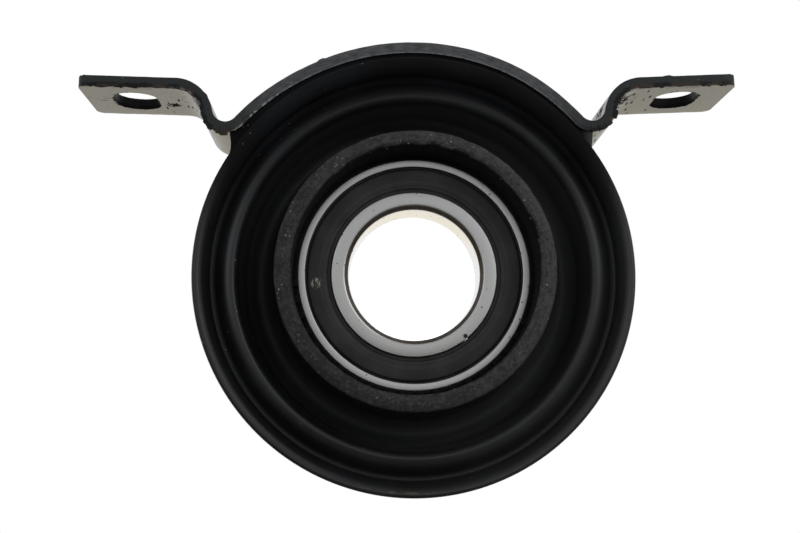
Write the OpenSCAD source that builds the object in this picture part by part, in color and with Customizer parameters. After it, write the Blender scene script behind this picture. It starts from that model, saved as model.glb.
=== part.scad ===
// Driveshaft centre bearing: a sealed ball bearing held in a moulded rubber cushion,
// which is bonded into a bent steel strap with two slotted ears.
// Millimetres. The shaft runs along Y, the ears are on top (+Z), the origin is the bearing centre.

/* [Bearing] */
// Radius of the shaft bore
bore_r = 15; // [13.5:0.25:16]
// Outside radius of the bearing
bearing_r = 27.5; // [26.5:0.25:29]
// Width of both races along the shaft
bearing_w = 13; // [12:0.25:15]
// Corner radius of the races
race_corner = 1; // [0.6:0.1:1.3]
// Diameter of the balls over the height of the section between the bore and the bearing's outside
ball_share = 0.5715; // [0.53:0.0005:0.59]
// How far the inner race's shoulder lies inside the circle of the ball centres, over the ball diameter
inner_land_share = 0.329; // [0.28:0.001:0.38]
// How far the outer race's shoulder lies outside that circle, over the ball diameter
outer_land_share = 0.301; // [0.27:0.001:0.36]
// Gap between a ball and the bottom of its track
ball_clearance = 0.06; // [0.06:0.01:0.12]
// Radius of the ball tracks over the radius of the balls
track_fit = 1.03; // [1.02:0.005:1.06]

/* [Seals] */
// Radial depth of the seal seat in the outer race
seal_seat_h = 1.5; // [1.2:0.05:1.8]
// Depth of the seal seat from the race face
seal_seat_depth = 1.4; // [1.2:0.05:1.7]
// Thickness of the seal's thin web
seal_web_t = 0.7; // [0.5:0.05:0.9]
// Height of the seal's raised face above the web
seal_face_h = 0.5; // [0.3:0.05:0.6]
// Width of the raised face
seal_face_w = 3.6; // [3:0.05:4]
// Edge radius of the raised face
seal_face_round = 0.25; // [0.15:0.05:0.3]
// Running gap between the seal lip and the inner race
seal_lip_gap = 0.1; // [0.08:0.01:0.2]

/* [Ball cage] */
// Sheet thickness of the cage halves
cage_t = 0.5; // [0.4:0.05:0.7]
// Radial width of the cage ribbon
cage_w = 2.8; // [2.2:0.1:3.2]
// Gap between a ball and its pocket
pocket_clearance = 0.15; // [0.1:0.01:0.25]
// Shank radius of the cage rivets
rivet_r = 0.55; // [0.4:0.05:0.65]
// Head radius of the cage rivets
rivet_head_r = 0.95; // [0.8:0.05:1.1]
// Head height of the cage rivets
rivet_head_h = 0.45; // [0.3:0.05:0.6]

/* [Rubber cushion] */
// Outside radius of the cushion's outer ring
ring_r = 50.4; // [49:0.2:52]
// Wall of the outer ring
ring_t = 3.6; // [3:0.1:4.4]
// Edge radius of the outer ring
rim_round = 1.4; // [0.8:0.1:1.5]
// How far the outer ring stands out in front of the strap
ring_overhang = 4.1; // [2.5:0.1:6]
// How far the outer ring stays inside the strap at the back
ring_setback = 0.8; // [0.4:0.1:2]
// Distance from the ring's outside in to the crest of the fold
crest_inset = 7.7; // [7:0.1:8.4]
// How far the crest lies behind the front of the ring
crest_drop = 3.3; // [2:0.1:5]
// Depth of the groove between the crest and the ring
groove_depth = 2.9; // [2:0.1:4]
// Thickness of the folded wall
wall_t = 3.4; // [2.6:0.1:4]
// Depth of the trough below the crest
trough_depth = 14.9; // [12:0.1:17]
// Radius of the trough's round bottom
trough_round = 3.6; // [3:0.1:4]
// Wall of the hub between the bearing and the trough
hub_t = 5.1; // [4.4:0.1:5.6]
// How far the front lip stands out from the bearing face
lip_reach = 9.9; // [7:0.1:12]
// Wall of the front lip
lip_t = 3.7; // [3:0.1:4.2]
// Edge radius of the front lip
lip_round = 0.8; // [0.4:0.1:1.2]
// Gap between the lip's bore and the bearing size, for pressing the bearing in
lip_clearance = 0.2; // [0.1:0.05:0.5]
// Height of the teeth that hold the bearing in
tooth_h = 1.2; // [0.8:0.05:1.6]
// Thickness of those teeth along the shaft
tooth_t = 1.2; // [0.8:0.1:2]
// Number of teeth
tooth_count = 45; // [30:1:60]
// Width of the notch between two teeth
notch_w = 2.1; // [1.4:0.1:2.3]
// Radial height of the stop behind the bearing
stop_h = 1.9; // [1.2:0.1:2.4]
// Thickness of that stop along the shaft
stop_t = 4.5; // [3:0.1:6]

/* [Strap bracket] */
// Sheet thickness of the strap
strap_t = 2.7; // [2.2:0.1:3.2]
// Width of the strap along the shaft
strap_w = 26.7; // [24:0.1:32]
// How far the strap's front edge lies in front of the bearing centre
strap_front = 5.1; // [3:0.1:8]
// Thickness of the rubber saddle between the ring and the strap
saddle_t = 1.9; // [1.4:0.1:3]
// How far the saddle stays inside the strap's edges
saddle_setback = 0.6; // [0.3:0.1:1.5]
// How far the rubber runs on under each fold, as an angle of the fold
web_angle = 37; // [20:1:60]
// Distance from the top of the strap down to the top of the ears
ear_drop = 8; // [5:0.1:8.4]
// Distance from the side of the strap's circle in to the riser
riser_inset = 6.4; // [5:0.1:7]
// Angle by which the risers lean outwards
riser_lean = 12; // [4:0.5:16]
// Inside radius of the fold between strap and riser
fold_r = 3; // [2:0.1:3.6]
// Inside radius of the bend between riser and ear
ear_bend_r = 6.3; // [4:0.1:6.6]
// Distance between the two slots
slot_spacing = 130.8; // [128:0.2:150]
// Width of a slot
slot_w = 10.5; // [8:0.1:12]
// Length of a slot, along the shaft
slot_l = 16.2; // [13:0.1:20]
// Distance from a slot's middle to the tip of its ear
ear_margin = 11.7; // [9:0.1:16]
// Corner radius of the ears
ear_corner_r = 2.5; // [1:0.1:5]

/* [Hidden] */
$fn = 96;
// Extra length of a cutter past the face that it cuts
cut_over = 1;
// Largest turn between two points of an outline, along the strap
strap_step = 2;
// The same in the strap's bends
bend_step = 4;
// The same in the cushion's folded wall
wall_step = 6;
// The same at the cushion's edges
edge_step = 15;

// Bearing
ball_count = 11;
ball_d = ball_share * (bearing_r - bore_r);
ball_r = ball_d / 2;
track_r = ball_r * track_fit;
pitch_r = (bore_r + bearing_r) / 2;
half_w = bearing_w / 2;
inner_land_r = pitch_r - inner_land_share * ball_d;
outer_land_r = pitch_r + outer_land_share * ball_d;
seal_seat_r = outer_land_r + seal_seat_h;
seal_back = half_w - seal_seat_depth;
seal_lip_r = inner_land_r + seal_lip_gap;
seal_mid_r = (seal_lip_r + seal_seat_r) / 2;
pocket_r = ball_r + pocket_clearance;
rivet_half_l = cage_t + rivet_head_h;

// Strap, seen along the shaft
strap_in_r = ring_r + saddle_t;
strap_r = strap_in_r + strap_t;
strap_mid_r = strap_in_r + strap_t / 2;
strap_rear = strap_w - strap_front;
strap_mid_y = (strap_rear - strap_front) / 2;
ear_top = strap_r - ear_drop;
ear_mid = ear_top - strap_t / 2;
ear_tip_x = slot_spacing / 2 + ear_margin;
fold_mid_r = fold_r + strap_t / 2;
bend_mid_r = ear_bend_r + strap_t / 2;
riser_dir = [sin(riser_lean), cos(riser_lean)];
riser_left = [-cos(riser_lean), sin(riser_lean)];
riser_top = [strap_r - riser_inset, ear_mid];
// The fold's centre lies one fold radius inside the riser and touches the strap's circle
fold_line = riser_top + fold_mid_r * riser_left;
fold_along = fold_line * riser_dir;
fold_reach = strap_mid_r + fold_mid_r;
fold_c = fold_line
    + (sqrt(fold_along * fold_along - fold_line * fold_line + fold_reach * fold_reach) - fold_along) * riser_dir;
fold_angle = atan2(fold_c.y, fold_c.x);
fold_start = fold_angle + 180;
fold_end = 360 - riser_lean;
bend_c = riser_top - bend_mid_r * (1 - sin(riser_lean)) / cos(riser_lean) * riser_dir - bend_mid_r * riser_left;

// Cushion, as a section with x = distance from the shaft and y = along the shaft
ring_front_y = -strap_front - ring_overhang;
ring_rear_y = strap_rear - ring_setback;
ring_in_r = ring_r - ring_t;
crest_r = ring_r - crest_inset;
crest_y = ring_front_y + crest_drop;
crest_c = [crest_r, crest_y + wall_t / 2];
groove_y = crest_y + groove_depth;
trough_c = [bearing_r + hub_t + trough_round, crest_y + trough_depth - trough_round];
trough_mid_r = trough_round + wall_t / 2;
lip_bore_r = bearing_r + lip_clearance;
lip_r = lip_bore_r + lip_t;
lip_front_y = -half_w - lip_reach;
lip_edge = [lip_r, lip_front_y + lip_round];
hub_rear_y = half_w + stop_t;
stop_r = bearing_r - stop_h;
// Angles at which the folded wall leaves the trough's round bottom
wall_angle = tangent_angle(crest_c, trough_c, trough_mid_r, 1);
lip_angle = tangent_angle(lip_edge, trough_c, trough_round, -1) + 360;

// Direction from a circle's centre to the point where a line from p touches the circle
function tangent_angle(p, c, r, side) = atan2(p.y - c.y, p.x - c.x) + side * acos(r / norm(p - c));
function on_circle(c, r, a) = c + r * [cos(a), sin(a)];
function ball_angle(k) = 90 + (k - 1) * 360 / ball_count;
// Points of an arc from angle a0 to angle a1, of which the first may be left out
function arc_steps(a0, a1, step) = max(1, ceil(abs(a1 - a0) / step));
function arc(c, r, a0, a1, step, first = 0) =
    let (n = arc_steps(a0, a1, step)) [for (i = [first : n]) on_circle(c, r, a0 + (a1 - a0) * i / n)];
// Closes a right-hand outline, which starts and ends on the middle line, with its mirror image
function with_left_half(pts) = concat(pts, [for (i = [len(pts) - 2 : -1 : 1]) [-pts[i].x, pts[i].y]]);
// Point of the line from p along d at the height y
function at_height(p, d, y) = p + (y - p.y) / d.y * d;

// Revolves a section about the shaft axis
module turned() {
    rotate([-90, 0, 0]) rotate_extrude() children();
}

// Round bar along the shaft, from y0 to y1
module shaft_cylinder(r, y0, y1) {
    translate([0, y0, 0]) rotate([-90, 0, 0]) cylinder(r = r, h = y1 - y0);
}

// Puts a shape at a ball's place on the pitch circle, or half a step on, between two balls
module ball_place(k) {
    rotate([0, -ball_angle(k), 0]) translate([pitch_r, 0, 0]) children();
}

// Rectangle with round corners
module rounded_rect(x0, x1, y0, y1, r) {
    translate([x0 + r, y0]) square([x1 - x0 - 2 * r, y1 - y0]);
    translate([x0, y0 + r]) square([x1 - x0, y1 - y0 - 2 * r]);
    for (x = [x0 + r, x1 - r], y = [y0 + r, y1 - r])
        translate([x, y]) circle(r);
}

// Extrudes a shape drawn across the shaft from y0 to y1
module across(y0, y1) {
    translate([0, y1, 0]) rotate([90, 0, 0]) linear_extrude(y1 - y0) children();
}

// Bent strip of the bracket, seen along the shaft
module strap_outline() {
    polygon(with_left_half(concat(
        arc([0, 0], strap_r, 90, fold_angle, strap_step),
        arc(fold_c, fold_r, fold_start, fold_end, bend_step, 1),
        arc(bend_c, ear_bend_r + strap_t, 180 - riser_lean, 90, bend_step),
        [[ear_tip_x, ear_top], [ear_tip_x, ear_top - strap_t]],
        arc(bend_c, ear_bend_r, 90, 180 - riser_lean, bend_step),
        arc(fold_c, fold_r + strap_t, fold_end, fold_start, bend_step),
        arc([0, 0], strap_in_r, fold_angle, 90, strap_step, 1)
    )));
}

// Slot that runs along the shaft, as a cutter
module ear_slot() {
    straight = slot_l - slot_w;
    translate([slot_spacing / 2, strap_mid_y, ear_top - strap_t - cut_over])
        linear_extrude(strap_t + 2 * cut_over) {
            square([slot_w, straight], center = true);
            for (y = [-straight / 2, straight / 2])
                translate([0, y]) circle(d = slot_w);
        }
}

// Steel strap over the cushion, folded up and out into two ears
module mounting_bracket() {
    color([0.09, 0.09, 0.1]) difference() {
        intersection() {
            across(-strap_front, strap_rear) strap_outline();
            linear_extrude(strap_r + cut_over)
                rounded_rect(-ear_tip_x, ear_tip_x, -strap_front, strap_rear, ear_corner_r);
        }
        ear_slot();
        mirror([1, 0, 0]) ear_slot();
    }
}

// Section of the cushion's outer ring
module ring_section() {
    rounded_rect(ring_in_r, ring_r, ring_front_y, ring_rear_y, rim_round);
}

// Section from the front lip through the hub, the trough and the crest to the outer ring
module fold_section() {
    ring_mid_r = ring_r - ring_t / 2;
    crest_side = on_circle(crest_c, wall_t / 2, wall_angle);
    wall_dir = on_circle(trough_c, trough_mid_r, wall_angle) - crest_c;
    polygon(concat(
        [[lip_bore_r, lip_front_y]],
        arc(lip_edge - [lip_round, 0], lip_round, -90, 0, edge_step),
        arc(trough_c, trough_round, lip_angle, wall_angle, wall_step),
        arc(crest_c, wall_t / 2, wall_angle + 180, wall_angle + 360, wall_step),
        [
            at_height(crest_side, wall_dir, groove_y),
            [ring_mid_r, groove_y],
            [ring_mid_r, groove_y + wall_t],
            at_height(crest_side, wall_dir, groove_y + wall_t)
        ],
        arc(trough_c, trough_round + wall_t, wall_angle, 135, wall_step),
        [
            [bearing_r + lip_t, hub_rear_y],
            [stop_r, hub_rear_y],
            [stop_r, half_w],
            [bearing_r, half_w],
            [bearing_r, -half_w],
            [lip_bore_r, -half_w]
        ]
    ));
}

// Ring of small teeth in front of the bearing's outer corner
module bearing_teeth() {
    root = lip_t / 2;
    difference() {
        turned() translate([lip_bore_r - tooth_h, -half_w - tooth_t]) square([tooth_h + root, tooth_t]);
        for (k = [1 : tooth_count])
            rotate([0, k * 360 / tooth_count, 0])
                translate([lip_bore_r - tooth_h - cut_over, -half_w - tooth_t - cut_over, -notch_w / 2])
                    cube([tooth_h + cut_over + root / 2, tooth_t + 2 * cut_over, notch_w]);
    }
}

// Rubber between the ring and the strap, seen along the shaft, with a web under each fold
module saddle_outline() {
    foot_r = ring_in_r + ring_t / 3;
    under_fold = arc(fold_c, fold_r + strap_t, fold_start, fold_end, bend_step, 1);
    web_count = round(web_angle / (fold_end - fold_start) * len(under_fold));
    web_x = under_fold[web_count - 1].x;
    polygon(with_left_half(concat(
        arc([0, 0], strap_in_r, 90, fold_angle, strap_step),
        [for (i = [0 : web_count - 1]) under_fold[i]],
        [[web_x, sqrt(foot_r * foot_r - web_x * web_x)]],
        arc([0, 0], foot_r, acos(web_x / foot_r), 90, strap_step, 1)
    )));
}

// Moulded rubber cushion
module rubber_cushion() {
    color([0.05, 0.05, 0.055]) union() {
        turned() ring_section();
        turned() fold_section();
        bearing_teeth();
        across(-strap_front + saddle_setback, strap_rear - ring_setback - saddle_setback) saddle_outline();
    }
}

module bearing_outer_race() {
    color([0.72, 0.72, 0.7]) turned() difference() {
        union() {
            rounded_rect(outer_land_r, bearing_r, -half_w, half_w, race_corner);
            translate([outer_land_r, -half_w]) square([bearing_r - race_corner - outer_land_r, bearing_w]);
        }
        translate([pitch_r + ball_r + ball_clearance - track_r, 0]) circle(track_r);
        for (y = [-half_w - cut_over, seal_back])
            translate([outer_land_r - cut_over, y])
                square([seal_seat_h + cut_over, seal_seat_depth + cut_over]);
    }
}

module bearing_inner_race() {
    color([0.74, 0.73, 0.71]) turned() difference() {
        union() {
            rounded_rect(bore_r, inner_land_r, -half_w, half_w, race_corner);
            translate([bore_r + race_corner, -half_w]) square([inner_land_r - bore_r - race_corner, bearing_w]);
        }
        translate([pitch_r - ball_r - ball_clearance + track_r, 0]) circle(track_r);
    }
}

// Section of a seal on the rear side: thin web in its seat, with a raised face
module seal_section() {
    face_y = seal_back + seal_web_t + seal_face_h;
    translate([seal_lip_r, seal_back]) square([seal_seat_r - seal_lip_r, seal_web_t]);
    rounded_rect(seal_mid_r - seal_face_w / 2, seal_mid_r + seal_face_w / 2, seal_back, face_y, seal_face_round);
}

module rear_seal() {
    color([0.16, 0.16, 0.17]) turned() seal_section();
}

module front_seal() {
    mirror([0, 1, 0]) rear_seal();
}

// Round bar across the cage ribbon at a ball's place, reaching past the ribbon by the given length
module pocket_bar(k, r, past) {
    ball_place(k) rotate([0, 90, 0]) cylinder(r = r, h = cage_w + 2 * past, center = true);
}

// Half of the ribbon cage: flat tabs between round pockets, on the rear side
module cage_rear() {
    color([0.6, 0.6, 0.58]) difference() {
        union() {
            difference() {
                shaft_cylinder(pitch_r + cage_w / 2, 0, cage_t);
                shaft_cylinder(pitch_r - cage_w / 2, -cut_over, cage_t + cut_over);
            }
            for (k = [1 : ball_count])
                pocket_bar(k, pocket_r + cage_t, 0);
        }
        for (k = [1 : ball_count]) {
            pocket_bar(k, pocket_r, cut_over);
            ball_place(k + 0.5) shaft_cylinder(rivet_r, -cut_over, cage_t + cut_over);
        }
        shaft_cylinder(bearing_r, -bearing_w, 0);
    }
}

module cage_front() {
    mirror([0, 1, 0]) cage_rear();
}

// Rivets through the tabs of both cage halves
module cage_rivets() {
    color([0.55, 0.55, 0.53]) for (k = [1 : ball_count])
        ball_place(k + 0.5) {
            shaft_cylinder(rivet_r, -rivet_half_l, rivet_half_l);
            shaft_cylinder(rivet_head_r, -rivet_half_l, -cage_t);
            shaft_cylinder(rivet_head_r, cage_t, rivet_half_l);
        }
}

module ball(k) {
    color([0.8, 0.8, 0.8]) ball_place(k) sphere(ball_r);
}

mounting_bracket();
rubber_cushion();
bearing_outer_race();
bearing_inner_race();
front_seal();
rear_seal();
cage_front();
cage_rear();
cage_rivets();
ball(1);  // ball_01
ball(2);  // ball_02
ball(3);  // ball_03
ball(4);  // ball_04
ball(5);  // ball_05
ball(6);  // ball_06
ball(7);  // ball_07
ball(8);  // ball_08
ball(9);  // ball_09
ball(10);  // ball_10
ball(11);  // ball_11
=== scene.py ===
"""Looks of a driveshaft centre bearing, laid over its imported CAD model.

The moulded rubber cushion, the bent strap bracket and the sealed ball bearing get smooth pieces with
their rounded edges, flash, burrs and wear, each in a procedural finish. The part hangs in a white
studio and is seen from the photograph's viewing angle. Sizes of the part are in millimetres, those of
the studio in metres.
"""

import logging
import math
from collections.abc import Iterable, Sequence
from dataclasses import dataclass, field
from enum import Enum

import bmesh
import bpy
from mathutils import Matrix, Vector, noise


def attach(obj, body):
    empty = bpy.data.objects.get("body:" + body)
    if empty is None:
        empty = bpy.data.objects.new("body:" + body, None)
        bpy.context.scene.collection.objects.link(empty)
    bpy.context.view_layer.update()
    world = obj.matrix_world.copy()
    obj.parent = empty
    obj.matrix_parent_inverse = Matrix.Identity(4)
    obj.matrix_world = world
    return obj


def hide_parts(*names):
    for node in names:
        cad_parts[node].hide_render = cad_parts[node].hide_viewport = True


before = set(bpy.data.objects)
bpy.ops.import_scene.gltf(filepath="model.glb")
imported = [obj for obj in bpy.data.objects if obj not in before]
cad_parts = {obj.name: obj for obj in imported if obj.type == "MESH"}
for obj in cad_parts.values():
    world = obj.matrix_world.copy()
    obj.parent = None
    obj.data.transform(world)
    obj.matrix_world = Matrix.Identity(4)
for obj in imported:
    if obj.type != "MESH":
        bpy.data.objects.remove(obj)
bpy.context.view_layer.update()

LOG = logging.getLogger("centre_bearing")
MM = 0.001
SHAFT = Vector((0.0, 1.0, 0.0))
CENTRE = Vector((0.0, 0.0, 0.0))
SHARP_ANGLE = math.radians(38.0)
SAME_PLACE = 1e-7
SAME_EDGE = 1e-6
THROUGH = "through_sheet"
ROLLED = "bevel_weight_edge"

Colour = tuple[float, float, float, float]
Point = tuple[float, float, float]
Span = tuple[float, float]
Band = tuple[float, float, float, float]
Socket = bpy.types.NodeSocket
Mesh = bmesh.types.BMesh
Vert = bmesh.types.BMVert
Edge = bmesh.types.BMEdge


class Face(Enum):
    """Which face of the bearing a seal closes, as its direction along the shaft."""

    FRONT = -1
    REAR = 1


class Skin(Enum):
    """The surfaces of the strap's sheet, as material places."""

    PAINTED = 0
    SHEARED = 1
    SLOT_WALL = 2


def grey(level: float, warm: float = 0.0) -> Colour:
    """Gives a grey as a shader colour.

    Args:
        level: Brightness in linear light.
        warm: Share by which red is raised and blue is lowered.

    Returns:
        The colour with full alpha.
    """
    return (level * (1.0 + warm), level, level * (1.0 - warm), 1.0)


WHITE = grey(1.0)


def ease(share: float) -> float:
    """Eases a share from 0 to 1, and holds it at both ends."""
    held = min(1.0, max(0.0, share))
    return held * held * (3.0 - 2.0 * held)


class Value:
    """A number in a shader: arithmetic on it adds Math nodes."""

    def __init__(self, graph: "Graph", socket: Socket) -> None:
        """Wraps an output socket of a graph."""
        self.graph = graph
        self.socket = socket

    def __add__(self, other: "Value | float") -> "Value":
        """Sum of two values."""
        return self.graph.math("ADD", self, other)

    __radd__ = __add__

    def __sub__(self, other: "Value | float") -> "Value":
        """Difference of two values."""
        return self.graph.math("SUBTRACT", self, other)

    def __rsub__(self, other: float) -> "Value":
        """Difference of a number and this value."""
        return self.graph.math("SUBTRACT", other, self)

    def __mul__(self, other: "Value | float") -> "Value":
        """Product of two values."""
        return self.graph.math("MULTIPLY", self, other)

    __rmul__ = __mul__

    def smooth(self, low: float, high: float) -> "Value":
        """Rises smoothly from 0 where the value is low to 1 where it is high.

        Args:
            low: Value that gives 0.
            high: Value that gives 1, which may be the smaller of the two.

        Returns:
            The smooth step.
        """
        made = self.graph.node(
            "ShaderNodeMapRange",
            {"interpolation_type": "SMOOTHSTEP"},
            {"Value": self, "From Min": low, "From Max": high},
        )
        return Value(self.graph, made.outputs["Result"])

    def rise(self, span: Span) -> "Value":
        """Rises smoothly over a span given in millimetres, which may run downwards."""
        return self.smooth(span[0] * MM, span[1] * MM)

    def within(self, band: Band) -> "Value":
        """Marks a band in millimetres: rises over its first two numbers, falls over its last two."""
        start, full, fading, end = band
        return self.rise((start, full)) * self.rise((end, fading))


@dataclass(frozen=True)
class Place:
    """Where a shaded point lies on the object, in metres."""

    vector: Socket
    x: Value
    y: Value
    z: Value
    r: Value


@dataclass(frozen=True)
class Grain:
    """A noise pattern: size of its largest features in millimetres, and number of finer layers."""

    size: float
    detail: float


@dataclass(frozen=True)
class Specks:
    """Scattered round specks: cells in millimetres, radius over a cell, and share of the cells."""

    cell: float
    radius: float
    share: float
    core: float = 0.6
    edge: float = 0.02


class Graph:
    """A node tree that finishes and the studio are written into."""

    def __init__(self, tree: bpy.types.NodeTree) -> None:
        """Takes over a node tree and empties it."""
        self.tree = tree
        tree.nodes.clear()

    def node(self, kind: str, settings: dict | None = None, sockets: dict | None = None) -> bpy.types.Node:
        """Adds a node.

        Args:
            kind: Blender's name of the node type.
            settings: Properties of the node, set first.
            sockets: Values or links of its inputs, by name or number.

        Returns:
            The new node.
        """
        made = self.tree.nodes.new(kind)
        for key, setting in (settings or {}).items():
            setattr(made, key, setting)
        for key, content in (sockets or {}).items():
            if isinstance(content, Value):
                content = content.socket
            if isinstance(content, Socket):
                self.tree.links.new(content, made.inputs[key])
            else:
                made.inputs[key].default_value = content
        return made

    def math(self, operation: str, *terms: "Value | float") -> Value:
        """Adds a Math node.

        Args:
            operation: Name of the operation.
            terms: Its values, in order.

        Returns:
            The result.
        """
        made = self.node("ShaderNodeMath", {"operation": operation}, dict(enumerate(terms)))
        return Value(self, made.outputs[0])

    def place(self) -> Place:
        """Reads the Object coordinates.

        Returns:
            The point, its parts and its distance from the shaft axis.
        """
        vector = self.node("ShaderNodeTexCoord").outputs["Object"]
        parts = self.node("ShaderNodeSeparateXYZ", None, {0: vector}).outputs
        x, y, z = (Value(self, parts[axis]) for axis in "XYZ")
        return Place(vector, x, y, z, self.math("SQRT", x * x + z * z))

    def attribute(self, name: str) -> Value:
        """Reads a number that the mesh carries at its vertices."""
        return Value(self, self.node("ShaderNodeAttribute", {"attribute_name": name}).outputs["Fac"])

    def rays(self) -> tuple[Value, Value]:
        """Tells the rays apart.

        Returns:
            1 for a ray from the camera, and 1 for a ray off gloss or through glass.
        """
        path = self.node("ShaderNodeLightPath").outputs
        seen, glossy, clear = (Value(self, path[f"Is {kind} Ray"]) for kind in ("Camera", "Glossy", "Transmission"))
        return seen, self.math("MAXIMUM", glossy, clear)

    def near(self, at: Place, centre_mm: Sequence[float], radius_mm: float) -> Value:
        """Marks a round spot.

        Args:
            at: The shaded point.
            centre_mm: Middle of the spot, in millimetres.
            radius_mm: Radius at which the mark ends.

        Returns:
            1 in the inner half of the spot and 0 off it.
        """
        ends = {0: at.vector, 1: Vector(centre_mm) * MM}
        away = self.node("ShaderNodeVectorMath", {"operation": "DISTANCE"}, ends)
        return Value(self, away.outputs["Value"]).rise((radius_mm, 0.5 * radius_mm))

    def point(self, *parts: "Value | float") -> Socket:
        """Joins three values to a vector."""
        return self.node("ShaderNodeCombineXYZ", None, dict(enumerate(parts))).outputs[0]

    def noise(self, where: Socket, grain: Grain) -> Value:
        """Adds a noise pattern.

        Args:
            where: Point at which it is read.
            grain: Its size and detail.

        Returns:
            The pattern, from 0 to 1.
        """
        sockets = {"Vector": where, "Scale": 1.0 / (grain.size * MM), "Detail": grain.detail}
        return Value(self, self.node("ShaderNodeTexNoise", None, sockets).outputs[0])

    def specks(self, where: Socket, kind: Specks) -> Value:
        """Scatters small round specks, one in some of the cells of a Voronoi pattern.

        Args:
            where: Point at which the pattern is read.
            kind: Size and number of the specks.

        Returns:
            1 on a speck and 0 off it.
        """
        cells = self.node("ShaderNodeTexVoronoi", None, {"Vector": where, "Scale": 1.0 / (kind.cell * MM)})
        luck = Value(self, self.node("ShaderNodeSeparateColor", None, {0: cells.outputs["Color"]}).outputs[0])
        near = Value(self, cells.outputs["Distance"]).smooth(kind.radius, kind.core * kind.radius)
        return near * luck.smooth(kind.share, kind.share - kind.edge)

    def blend(self, share: Value, low: Colour | Socket, high: Colour | Socket) -> Socket:
        """Mixes two colours.

        Args:
            share: Share of the second colour.
            low: Colour where the share is 0.
            high: Colour where the share is 1.

        Returns:
            The mixed colour.
        """
        return self.node("ShaderNodeMix", {"data_type": "RGBA"}, {0: share, 6: low, 7: high}).outputs[2]

    def bump(self, height: Value, depth_mm: float, strength: float) -> Socket:
        """Turns a height pattern into a normal.

        Args:
            height: Pattern, mostly from 0 to 1.
            depth_mm: Depth of a height of 1, in millimetres.
            strength: Share of the effect.

        Returns:
            The normal.
        """
        sockets = {"Strength": strength, "Distance": depth_mm * MM, "Height": height}
        return self.node("ShaderNodeBump", None, sockets).outputs[0]

    def mix(self, share: Value, low: Socket, high: Socket) -> Socket:
        """Lays one shader over another.

        Args:
            share: Share of the second shader.
            low: Shader where the share is 0.
            high: Shader where the share is 1.

        Returns:
            The mixed shader.
        """
        return self.node("ShaderNodeMixShader", None, {0: share, 1: low, 2: high}).outputs[0]

    def gloss(self, **sockets: object) -> Socket:
        """Adds a Principled shader with the given inputs, written with _ for a space."""
        named = {key.replace("_", " "): content for key, content in sockets.items()}
        return self.node("ShaderNodeBsdfPrincipled", None, named).outputs[0]


@dataclass(frozen=True)
class Finish:
    """A procedural material; each kind draws its own shader."""

    name: str

    def material(self) -> bpy.types.Material:
        """Makes the material.

        Returns:
            The finished material.
        """
        material = bpy.data.materials.new(self.name)
        material.use_nodes = True
        graph = Graph(material.node_tree)
        graph.node("ShaderNodeOutputMaterial", None, {"Surface": self.shader(graph, graph.place())})
        return material

    def shader(self, g: Graph, at: Place) -> Socket:
        """Draws the finish.

        Args:
            g: Graph that takes the nodes.
            at: The shaded point.

        Returns:
            The shader of the surface.
        """
        raise NotImplementedError


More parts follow.
